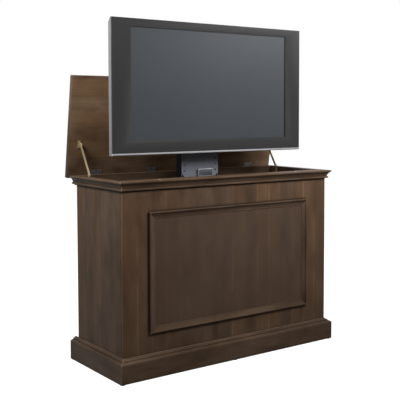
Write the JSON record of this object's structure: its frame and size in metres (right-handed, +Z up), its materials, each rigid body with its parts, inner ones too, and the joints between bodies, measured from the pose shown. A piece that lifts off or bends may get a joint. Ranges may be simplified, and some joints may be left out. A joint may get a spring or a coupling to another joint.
{
  "type": "television lift cabinet",
  "caption": "free-standing wooden cabinet with a hinged top and a two-stage motor lift that raises a flat television out of the well",
  "frame": {"origin": "underside of the middle floor pad, under the plan centre of the carcass, on the floor", "axes": "X along the width, to the right seen from the front; Y from the front to the back; Z up"},
  "size_m": [1.254, 0.548, 1.619],
  "materials": {
    "espresso_wood": "dark espresso stain, satin lacquer",
    "back_board": "dark stained board, matt",
    "dark_steel": "charcoal powder coat",
    "bright_steel": "bright nickel",
    "brass_stay": "pale brass plate",
    "black_plastic": "moulded, matt",
    "clear_bumper": "translucent soft",
    "slide_plastic": "moulded, low friction",
    "motor_grey": "grey enamel",
    "spindle_steel": "ground",
    "tv_black": "near-black gloss",
    "tv_glass": "dark grey panel glass",
    "tv_silver": "silver",
    "tv_grey": "silver grey"
  },
  "bodies": {
    "lid": {"hinge_upper_leaves": "bright_steel", "lid_panel": "espresso_wood", "lid_screws": "bright_steel", "stay_lid_brackets": "brass_stay"},
    "stay_upper_left": {"stay_upper_bar_left": "brass_stay"},
    "stay_upper_right": {"stay_upper_bar_right": "brass_stay"},
    "stay_lower_left": {"stay_lower_bar_left": "brass_stay"},
    "stay_lower_right": {"stay_lower_bar_right": "brass_stay"},
    "lift_stage": {"stage_brackets": "dark_steel", "stage_channel": "dark_steel", "stage_motor": "motor_grey", "stage_nut": "slide_plastic", "stage_pads": "slide_plastic", "stage_switch_box": "black_plastic"},
    "spindle_base_shaft": {"spindle_base": "spindle_steel"},
    "spindle_stage_shaft": {"spindle_stage": "spindle_steel"},
    "tv_carriage": {"carriage_guides": "slide_plastic", "carriage_nut": "dark_steel", "carriage_plate": "dark_steel", "tv_bezel": "tv_black", "tv_cover": "tv_grey", "tv_rails": "dark_steel", "tv_screen": "tv_glass", "tv_trim": "tv_silver"},
    "cabinet": {"back_access_panel": "back_board", "back_boards": "back_board", "base_cap_front": "espresso_wood", "base_cap_left": "espresso_wood", "base_cap_right": "espresso_wood", "bottom_panel": "back_board", "cabinet_screws": "bright_steel", "cable_grommet": "black_plastic", "control_box": "black_plastic", "corner_cleats": "espresso_wood", "crown_front": "espresso_wood", "crown_left": "espresso_wood", "crown_right": "espresso_wood", "floor_glides": "black_plastic", "front_moulding_bottom": "espresso_wood", "front_moulding_left": "espresso_wood", "front_moulding_right": "espresso_wood", "front_moulding_top": "espresso_wood", "front_panel": "espresso_wood", "hinge_lower_leaves": "bright_steel", "hinge_pins": "bright_steel", "lid_bumpers": "clear_bumper", "lift_base_bolts": "bright_steel", "lift_base_motor": "motor_grey", "lift_base_plate": "dark_steel", "lift_column": "dark_steel", "lift_column_pads": "slide_plastic", "plinth_back": "espresso_wood", "plinth_front": "espresso_wood", "plinth_left": "espresso_wood", "plinth_right": "espresso_wood", "rim_rail_back": "espresso_wood", "rim_rail_front": "espresso_wood", "side_panel_left": "espresso_wood", "side_panel_right": "espresso_wood", "stay_side_brackets": "brass_stay"}
  },
  "joints": [
    {"name": "stage_slide", "type": "slide", "parent": "cabinet", "child": "lift_stage", "axis": [0, 0, 1], "range_m": [-0.48, 0]},
    {"name": "carriage_slide", "type": "slide", "parent": "lift_stage", "child": "tv_carriage", "axis": [0, 0, 1], "range_m": [-0.48, 0]},
    {"name": "lid_hinge", "type": "hinge", "parent": "cabinet", "child": "lid", "pos_m": [0, 0.2525, 0.871], "axis": [1, 0, 0], "range_deg": [0, 81.5]},
    {"name": "stay_lower_left_pivot", "type": "hinge", "parent": "cabinet", "child": "stay_lower_left", "pos_m": [0, 0.14, 0.74], "axis": [1, 0, 0], "range_deg": [0, 89.42]},
    {"name": "stay_upper_left_pivot", "type": "hinge", "parent": "lid", "child": "stay_upper_left", "pos_m": [0, 0.23503, 1.03522], "axis": [1, 0, 0], "range_deg": [-86.47, 0]},
    {"name": "stay_lower_right_pivot", "type": "hinge", "parent": "cabinet", "child": "stay_lower_right", "pos_m": [0, 0.14, 0.74], "axis": [1, 0, 0], "range_deg": [0, 89.42]},
    {"name": "stay_upper_right_pivot", "type": "hinge", "parent": "lid", "child": "stay_upper_right", "pos_m": [0, 0.23503, 1.03522], "axis": [1, 0, 0], "range_deg": [-86.47, 0]},
    {"name": "spindle_base_spin", "type": "hinge", "parent": "cabinet", "child": "spindle_base_shaft", "pos_m": [-0.055, 0.122, 0.7], "axis": [0, 0, 1], "continuous": true},
    {"name": "spindle_stage_spin", "type": "hinge", "parent": "lift_stage", "child": "spindle_stage_shaft", "pos_m": [0.055, 0.122, 0.7], "axis": [0, 0, 1], "continuous": true}
  ],
  "couplings": [
    {"joint": "carriage_slide", "follows": "stage_slide", "ratio": 1},
    {"joint": "lid_hinge", "follows": "stage_slide", "rad_per_m": -2.9634},
    {"joint": "stay_lower_left_pivot", "follows": "stage_slide", "rad_per_m": -3.2505},
    {"joint": "stay_upper_left_pivot", "follows": "stage_slide", "rad_per_m": 3.1436},
    {"joint": "stay_lower_right_pivot", "follows": "stage_slide", "rad_per_m": -3.2505},
    {"joint": "stay_upper_right_pivot", "follows": "stage_slide", "rad_per_m": 3.1436},
    {"joint": "spindle_base_spin", "follows": "stage_slide", "rad_per_m": 314.16},
    {"joint": "spindle_stage_spin", "follows": "stage_slide", "rad_per_m": 314.16}
  ]
}
